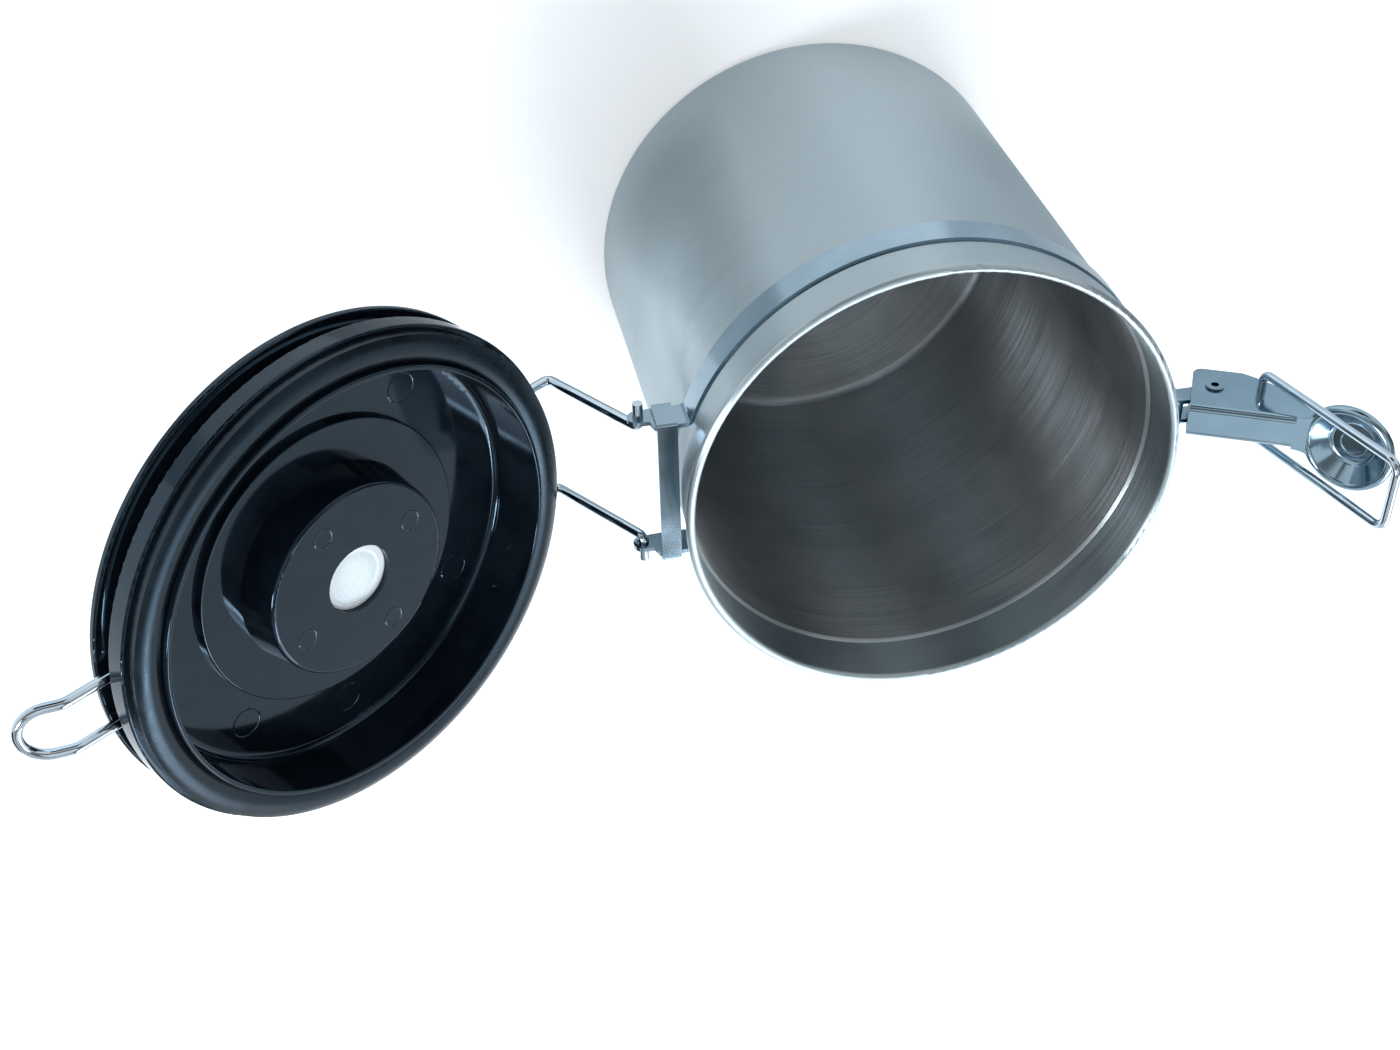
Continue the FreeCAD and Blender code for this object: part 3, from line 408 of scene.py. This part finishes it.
for width, share in ((filterLook["shoulder"], filterLook["shoulderShare"]),
                     (filterLook["middle"], 1 - filterLook["shoulderShare"])):
    bpy.ops.mesh.inset(thickness=width * mm)
    bpy.ops.transform.translate(value=(0, 0, -share * filterLook["crown"] * mm))
bpy.ops.mesh.select_all(action="SELECT")
bpy.ops.mesh.normals_make_consistent(inside=False)
bpy.ops.object.mode_set(mode="OBJECT")
bpy.ops.object.shade_smooth_by_angle(angle=math.radians(filterLook["smoothAngle"]))
settle(disc, lidMatrix @ Matrix.Translation((0, 0, filterLook["low"] * mm)))
disc.data.materials.append(finishes["paper"])
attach(disc, "lid")
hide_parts("valve_filter")
print("filter disc done")


# Plain raised ring stamped into the floor of the lever's thumb pad
padLook = {"pivot": (77.5, 0.0, 106.1), "leverAngle": 26.2, "padTilt": 25.7, "out": 32.6, "up": 12.9,
           "floor": -2.5, "sink": 0.05, "radius": 3.7, "width": 0.75, "rise": 0.26, "edge": 0.1,
           "edgeSteps": 3, "sides": 72, "smoothAngle": 50}
bpy.ops.object.select_all(action="DESELECT")
bpy.ops.mesh.primitive_circle_add(vertices=padLook["sides"], radius=padLook["radius"] * mm,
                                  fill_type="NGON", location=(0, 0, 0))
padRing = startPiece("padRing")
bpy.ops.object.mode_set(mode="EDIT")
bpy.ops.mesh.select_all(action="SELECT")
bpy.ops.mesh.inset(thickness=padLook["width"] * mm)
bpy.ops.mesh.delete(type="FACE")
bpy.ops.mesh.select_all(action="SELECT")
bpy.ops.mesh.extrude_region_move(TRANSFORM_OT_translate={"value": (0, 0, padLook["rise"] * mm)})
bpy.ops.mesh.select_all(action="SELECT")
bpy.ops.mesh.normals_make_consistent(inside=False)
selectFaces(padRing, lambda centre, normal: abs(normal.z) > 0.9 and centre.z > padLook["rise"] / 2 * mm)
bpy.ops.mesh.region_to_loop()
bpy.ops.mesh.bevel(offset=padLook["edge"] * mm, segments=padLook["edgeSteps"], affect="EDGES")
bpy.ops.object.mode_set(mode="OBJECT")
bpy.ops.object.shade_smooth_by_angle(angle=math.radians(padLook["smoothAngle"]))
lean = math.radians(padLook["leverAngle"])
padTurn = lean + math.radians(padLook["padTilt"])
padOrigin = Vector(padLook["pivot"]) + Vector((math.cos(lean), 0, math.sin(lean))) * padLook["out"] \
    + Vector((-math.sin(lean), 0, math.cos(lean))) * padLook["up"]
padMatrix = Matrix.Translation(padOrigin * mm) @ Matrix.Rotation(-padTurn, 4, "Y")
settle(padRing, padMatrix @ Matrix.Translation((0, 0, (padLook["floor"] - padLook["sink"]) * mm)))
padRing.data.materials.append(finishes["lever"])
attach(padRing, "lever")
print("pad ring done")


# Floor; its lift makes it read as white, more so far off, where the lamps don't reach
floorLook = {"size": 12.0, "colour": "#e9ecee", "rough": 0.9,
             "lift": 0.42, "farLift": 0.66, "near": 0.5, "far": 1.8}
bpy.ops.object.select_all(action="DESELECT")
bpy.ops.mesh.primitive_plane_add(size=floorLook["size"], location=(0, 0, 0))
floor = startPiece("floor")


def paleFloor(look):  # painted board that reads as white to the eye and in the metal, and keeps the shadow
    material, tree, shader = newMaterial("paintedBoard")
    shader.inputs["Base Color"].default_value = linearColour(look["colour"])
    shader.inputs["Roughness"].default_value = look["rough"]
    where = addNode(tree, "TexCoord")
    away = addNode(tree, "VectorMath", {"operation": "LENGTH"}, {0: where.outputs["Object"]}).outputs["Value"]
    fade = addNode(tree, "MapRange", {"interpolation_type": "SMOOTHSTEP"}, {
        "Value": away, "From Min": look["near"], "From Max": look["far"],
        "To Min": look["lift"], "To Max": look["farLift"]})
    lift = addNode(tree, "Math", {"operation": "MULTIPLY"}, {0: seenRay(tree), 1: fade})
    shader.inputs["Emission Color"].default_value = (1, 1, 1, 1)
    tree.links.new(lift.outputs[0], shader.inputs["Emission Strength"])
    return material


floor.data.materials.append(paleFloor(floorLook))

# White walls under a grey ceiling, for eye and metal alike; the heights are parts of the sky's radius
worldLook = {"sky": "#c3cbd1", "strength": 0.75, "wallTop": 0.4, "ceilingStart": 0.75, "ceiling": 0.25}
world = bpy.data.worlds.new("softStudio")
scene.world = world
world.use_nodes = True
worldTree = world.node_tree
soft = worldTree.nodes["Background"]
soft.inputs["Color"].default_value = linearColour(worldLook["sky"])
soft.inputs["Strength"].default_value = worldLook["strength"]
upward = addNode(worldTree, "SeparateXYZ", inputs={0: addNode(worldTree, "TexCoord").outputs["Generated"]})
ceiling = addNode(worldTree, "MapRange", {"interpolation_type": "SMOOTHSTEP"}, {
    "Value": upward.outputs["Z"], "From Min": worldLook["wallTop"], "From Max": worldLook["ceilingStart"],
    "To Min": 1.0, "To Max": worldLook["ceiling"]})
white = addNode(worldTree, "Background", inputs={"Color": (1, 1, 1, 1), "Strength": ceiling})
mixed = addNode(worldTree, "MixShader", inputs={0: seenRay(worldTree), 1: soft, 2: white})
worldTree.links.new(mixed.outputs[0], worldTree.nodes["World Output"].inputs["Surface"])
print("floor and world done")

# Grey cards outside the picture, which only gloss sees, so that wire and pad get their dark streaks
cardLook = {
    "left": {"azimuth": -148, "low": 0.0, "high": 28.0, "spread": 34.0, "reach": 1.0, "colour": "#20262b"},
    "back": {"azimuth": 105, "low": 2.0, "high": 30.0, "spread": 40.0, "reach": 1.0, "colour": "#20262b"},
    "right": {"azimuth": 12, "low": 2.0, "high": 34.0, "spread": 36.0, "reach": 1.0, "colour": "#20262b"},
}

# Pale boards lying beside the can, which only gloss sees, so that the round steel is shaded at its sides
boardLook = {
    "right": {"bearing": 10, "near": 0.07, "far": 0.75, "wide": 0.42, "lift": 0.001, "colour": "#e2e6e8"},
    "left": {"bearing": 150, "near": 0.07, "far": 0.75, "wide": 0.08, "lift": 0.001, "colour": "#d6dbdd"},
}
cardRough = 0.9  # matt paint


def greyCard(name, place, colour):
    bpy.ops.object.select_all(action="DESELECT")
    bpy.ops.mesh.primitive_plane_add(size=1.0, location=(0, 0, 0))
    card = startPiece(name)
    settle(card, place)
    paint, _, shader = newMaterial(name + "Paint")
    shader.inputs["Base Color"].default_value = linearColour(colour)
    shader.inputs["Roughness"].default_value = cardRough
    card.data.materials.append(paint)
    card.visible_camera = card.visible_diffuse = card.visible_shadow = card.visible_transmission = False


for cardName, look in cardLook.items():
    wide = 2 * look["reach"] * math.tan(math.radians(look["spread"] / 2))
    low, high = (look["reach"] * math.tan(math.radians(look[k])) for k in ("low", "high"))
    upright = Matrix.Rotation(math.radians(-90), 4, "Y") @ Matrix.Diagonal((high - low, wide, 1, 1))
    greyCard(cardName + "Card", Matrix.Rotation(math.radians(look["azimuth"]), 4, "Z")
             @ Matrix.Translation((look["reach"], 0, (low + high) / 2)) @ upright, look["colour"])
for boardName, look in boardLook.items():
    greyCard(boardName + "Board", Matrix.Rotation(math.radians(look["bearing"]), 4, "Z")
             @ Matrix.Translation(((look["near"] + look["far"]) / 2, 0, look["lift"]))
             @ Matrix.Diagonal((look["far"] - look["near"], look["wide"], 1, 1)), look["colour"])
print("cards and boards:", len(cardLook) + len(boardLook))

lampLook = {
    "key": {"at": (0.62, -0.62, 1.05), "aim": (0, 0, 0.06), "size": (0.6, 0.6), "watts": 4, "tint": "#f6fbff"},
    "cross": {"at": (-0.94, -0.22, 1.15), "aim": (0, 0, 0.06), "size": (0.3, 0.3), "watts": 9, "tint": "#f6fbff"},
    "overhead": {"at": (-0.1, 0.1, 1.6), "aim": (-0.02, 0, 0.08), "size": (1.2, 0.9), "watts": 3, "tint": "#f6fbff"},
    "window": {"at": (0.39, -0.987, 0.88), "aim": (-0.13, 0, 0.12), "size": (0.62, 0.5), "watts": 4.5,
               "tint": "#eef6ff"},
    "strip": {"at": (0.36, -0.92, 1.06), "aim": (-0.13, 0, 0.12), "size": (0.62, 0.06), "watts": 3,
              "tint": "#eef6ff"},
    "fill": {"at": (-0.29, -0.785, 1.21), "aim": (0.11, 0, 0.125), "size": (0.5, 0.36), "watts": 0.5,
             "tint": "#eef6ff"},
}
for lampName, look in lampLook.items():
    bpy.ops.object.select_all(action="DESELECT")
    bpy.ops.object.light_add(type="AREA", location=look["at"])
    lamp = bpy.context.object
    lamp.name = lampName + "Softbox"
    lamp.rotation_mode = "QUATERNION"
    lamp.rotation_quaternion = (Vector(look["aim"]) - Vector(look["at"])).to_track_quat("-Z", "Y")
    lamp.data.shape = "RECTANGLE"
    lamp.data.size, lamp.data.size_y = look["size"]
    lamp.data.energy = look["watts"]
    lamp.data.color = linearColour(look["tint"])[:3]
print("lamps:", len(lampLook))

# Camera at the photographed angle, rolled so that the can lies base upwards in the frame
cameraLook = {"at": (-122.99, 268.27, 460.03), "turn": (0.66182, 0.195468, 0.0886516),
              "focal": 1883.27, "pictureWidth": 1400,  # both in pixels
              "sensor": 36.0, "clip": (0.01, 50)}
bpy.ops.object.select_all(action="DESELECT")
bpy.ops.object.camera_add(location=[x * mm for x in cameraLook["at"]])
camera = bpy.context.object
camera.rotation_mode = "QUATERNION"
spin = Vector(cameraLook["turn"])
camera.rotation_quaternion = Quaternion(spin.normalized(), -spin.length)
camera.data.sensor_width = cameraLook["sensor"]
camera.data.lens = cameraLook["focal"] * cameraLook["sensor"] / cameraLook["pictureWidth"]
camera.data.clip_start, camera.data.clip_end = cameraLook["clip"]
scene.camera = camera
print("camera set")
